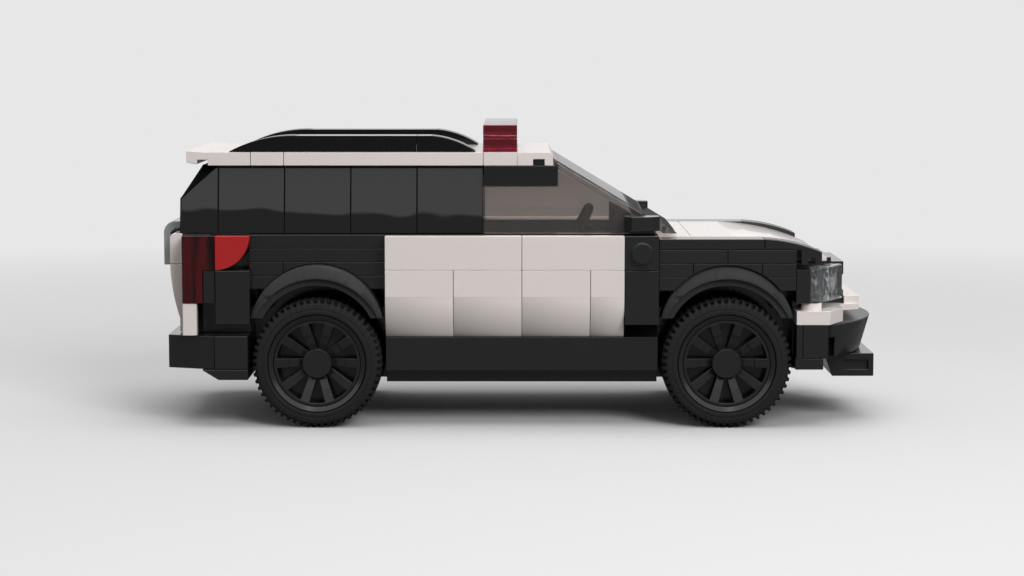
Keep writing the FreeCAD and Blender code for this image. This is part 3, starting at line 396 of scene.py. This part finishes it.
def roof_bar():
    """Black bar in the notch under the front roof tile, thicker at both ends."""
    low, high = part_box("roof_tiles")
    start, end = high[0] - NOTCH_BACK, high[0] - NOTCH_FRONT
    stops = (low[1] + BAR_INSET, low[1] + BAR_END, high[1] - BAR_END, high[1] - BAR_INSET)
    bm = bmesh.new()
    for y0, y1, gap in zip(stops, stops[1:], (BAR_END_GAP, BAR_GAP, BAR_END_GAP)):
        box_of(bm, [bm.verts.new((x, y, z)) for x in (start + gap, end - gap) for y in (y0, y1)
                    for z in (low[2] + gap, low[2] + NOTCH_HIGH - gap)])
    piece = mesh_piece("roof_bar", bm, "chassis", "black_plastic")
    rounded(piece, BAR_EDGE, PIECE_EDGE_ANGLE)


GLASS_BREAK = 8.2 * MM       # from the belt line up to the rear window's slanting top
PANEL_LEAN = 2.8 * MM        # side panels lean in by this much over their height
PANEL_THICK = 3.05 * MM
GLASS_STEP = 0.36 * MM       # rear window behind the corner panels
SLANT_RUN = 4.8 * MM         # run of the rear window's slanting edge
STRIP_INSET = 1.6 * MM       # strip's outer face, in from the corner panel's
FACET_GAP = 0.1 * MM         # left above and below
STRIP_GAP = 0.02 * MM        # left under the facet
CUT_GAP = 0.03 * MM          # left behind the panel's back edge
FACE_GAP = 0.02 * MM         # in from the panel's outer face


def rear_shade_facets():
    """Facets and strips that close the steps between the corner panels and the rear window. The
    facets follow the chamfer of the panels' slanted edges, and the strips fill the air behind the
    panels' back edges. Both are painted shade and painted dark reflection: matt black that reflects
    nothing.
    """
    low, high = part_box("rear_corner_panels")
    bottom, bend, top = low[2] + FACET_GAP, low[2] + GLASS_BREAK, high[2] - FACET_GAP
    back, front = low[0] - CUT_GAP, high[0]
    bm = bmesh.new()

    def point(side, x, inward, z):
        lean = PANEL_LEAN * (z - low[2]) / (high[2] - low[2])
        return bm.verts.new((x, side * (high[1] - FACE_GAP - lean - inward), z))

    for side in (1, -1):
        cut_low, cut_high = point(side, back, 0, bend), point(side, front, 0, top)
        glass_low = point(side, back - GLASS_STEP, PANEL_THICK, bend)
        glass_high = point(side, back + SLANT_RUN, PANEL_THICK, top)
        inner = point(side, front, PANEL_THICK, top)
        for face in ((cut_low, cut_high, glass_high), (cut_low, glass_high, glass_low),
                     (cut_low, glass_low, inner, cut_high), (cut_high, inner, glass_high),
                     (glass_low, glass_high, inner)):
            bm.faces.new(face)
        box_of(bm, [point(side, x, inward, z) for x in (back - GLASS_STEP, back)
                    for inward in (STRIP_INSET, PANEL_THICK) for z in (bottom, bend - STRIP_GAP)])
    # painted shade and painted dark reflection: the facets and strips take the matt black that
    # reflects nothing
    mesh_piece("rear_shade_facets", bm, "chassis", "window_black", SHADED)


# ---------------------------------------------------------------- studio
BACKDROP_TONE = linear(231)
AMBIENT = 0.42               # even light of the world on matt surfaces
HORIZON_SIN = 0.03           # sine of the height below which the backdrop is darker in reflections
BACK_LOW = 0.5               # its tone there
PANEL_SIN = 0.271            # sine of the height at which the panel in front of the toy ends
PANEL_TONE, OVER_PANEL = 0.24, 1.0
HORIZON_HALF, PANEL_HALF, SIDE_HALF = 0.004, 0.0006, 0.1 # half widths of these edges
FLOOR_BASE = 0.64            # lit by the lamps, this comes out near the backdrop's tone
FLOOR_BOUNCE = 0.16          # what the floor throws back on the toy
FLOOR_BEHIND_GLASS = 0.26    # and what shows of it through glass
FLOOR_REACH = 6.0
FLOOR_SCALE, FLOOR_SPREAD = 30.0, 0.004                  # faint mottling
FLOOR_FADE, FADE_HALF = 0.34, 0.16                       # how far out it fades, in metres
LAMPS = (
    # name, place, target, size, power, shows in glossy surfaces
    ("overhead_soft", (0.05, -0.05, 0.85), (0, 0, 0.03), 0.8, 4.8, True),
    ("front_fill", (0.38, -0.76, 0.53), (0, 0, 0.04), 0.4, 5.3, False),
)
LENS, SENSOR = 86.1, 36.0                                # millimetres
CAMERA_PLACE = (-0.0011, -0.600, 0.0912)
CAMERA_DOWN, CAMERA_TURN = 5.84, 0.12                    # degrees


def light_path(nodes, output):
    """Which kind of ray is being traced."""
    return nodes.new("ShaderNodeLightPath").outputs[output]


def backdrop_world():
    """Pale world for the camera, even light for matt surfaces, a panel edge in the reflections."""
    world = bpy.data.worlds.new("studio")
    bpy.context.scene.world = world
    world.use_nodes = True
    nodes, links = world.node_tree.nodes, world.node_tree.links
    place = nodes.new("ShaderNodeTexCoord")
    split = nodes.new("ShaderNodeSeparateXYZ")
    links.new(place.outputs["Generated"], split.inputs["Vector"])
    above = stepped(nodes, links, split.outputs["Z"], PANEL_SIN, PANEL_HALF)
    behind = stepped(nodes, links, split.outputs["Y"], 0.0, SIDE_HALF)
    lifted = stepped(nodes, links, split.outputs["Z"], HORIZON_SIN, HORIZON_HALF)
    front = mixed(nodes, links, above, PANEL_TONE, OVER_PANEL)
    back = mixed(nodes, links, lifted, BACK_LOW, BACKDROP_TONE)
    mirrored = mixed(nodes, links, behind, front, back)
    tone = mixed(nodes, links, light_path(nodes, "Is Glossy Ray"), AMBIENT, mirrored)
    for kind in ("Is Transmission Ray", "Is Camera Ray"):
        tone = mixed(nodes, links, light_path(nodes, kind), tone, BACKDROP_TONE)
    links.new(tone, nodes["Background"].inputs["Color"])


def floor_material():
    """Matt pale floor that glows like the backdrop away from the toy."""
    material, nodes, links, shader = node_tree("floor")
    grain = noise(nodes, links, FLOOR_SCALE)
    pale = tinted(nodes, links, grain, [FLOOR_BASE] * 3, FLOOR_SPREAD)
    unseen = mixed(nodes, links, light_path(nodes, "Is Transmission Ray"),
                   FLOOR_BOUNCE, FLOOR_BEHIND_GLASS)
    base = mixed(nodes, links, light_path(nodes, "Is Camera Ray"), unseen, pale)
    links.new(base, shader.inputs["Base Color"])
    shader.inputs["Roughness"].default_value = 0.9
    shader.inputs["Specular IOR Level"].default_value = 0.0
    glow = nodes.new("ShaderNodeEmission")
    glow.inputs["Color"].default_value = [BACKDROP_TONE] * 3 + [1]
    place = nodes.new("ShaderNodeTexCoord")
    length = nodes.new("ShaderNodeVectorMath")
    length.operation = "LENGTH"
    links.new(place.outputs["Object"], length.inputs[0])
    seen = nodes.new("ShaderNodeMath")
    seen.operation = "MULTIPLY"
    links.new(stepped(nodes, links, length.outputs["Value"], FLOOR_FADE, FADE_HALF), seen.inputs[0])
    links.new(light_path(nodes, "Is Camera Ray"), seen.inputs[1])
    mix = nodes.new("ShaderNodeMixShader")
    links.new(seen.outputs["Value"], mix.inputs["Fac"])
    links.new(shader.outputs["BSDF"], mix.inputs[1])
    links.new(glow.outputs["Emission"], mix.inputs[2])
    links.new(mix.outputs["Shader"], nodes["Material Output"].inputs["Surface"])
    return material


def floor():
    """Large plane under the toy."""
    bm = bmesh.new()
    bmesh.ops.create_grid(bm, x_segments=1, y_segments=1, size=FLOOR_REACH)
    mesh = bpy.data.meshes.new("floor")
    bm.to_mesh(mesh)
    bm.free()
    obj = bpy.data.objects.new("floor", mesh)
    bpy.context.scene.collection.objects.link(obj)
    mesh.materials.append(floor_material())


def area_light(name, place, target, size, power, mirrored):
    """Square soft light aimed at a point, which shows in glossy surfaces or not."""
    data = bpy.data.lights.new(name, "AREA")
    data.size = size
    data.energy = power
    obj = bpy.data.objects.new(name, data)
    obj.location = place
    obj.rotation_mode = "QUATERNION"
    obj.rotation_quaternion = (Vector(target) - Vector(place)).to_track_quat("-Z", "Y")
    obj.visible_glossy = mirrored
    bpy.context.scene.collection.objects.link(obj)


def camera():
    """Long lens beside the toy, a little above its roof."""
    data = bpy.data.cameras.new("camera")
    data.lens = LENS
    data.sensor_width = SENSOR
    obj = bpy.data.objects.new("camera", data)
    obj.location = CAMERA_PLACE
    obj.rotation_euler = (math.radians(90 - CAMERA_DOWN), 0, math.radians(CAMERA_TURN))
    bpy.context.scene.collection.objects.link(obj)
    bpy.context.scene.camera = obj


# ---------------------------------------------------------------- the whole scene
bpy.context.scene.view_settings.view_transform = "Standard"
dress_nodes()
for corner in CORNERS:
    tyre(corner)
    cover(corner)
roof_bar()
rear_shade_facets()
backdrop_world()
floor()
for lamp in LAMPS:
    area_light(*lamp)
camera()
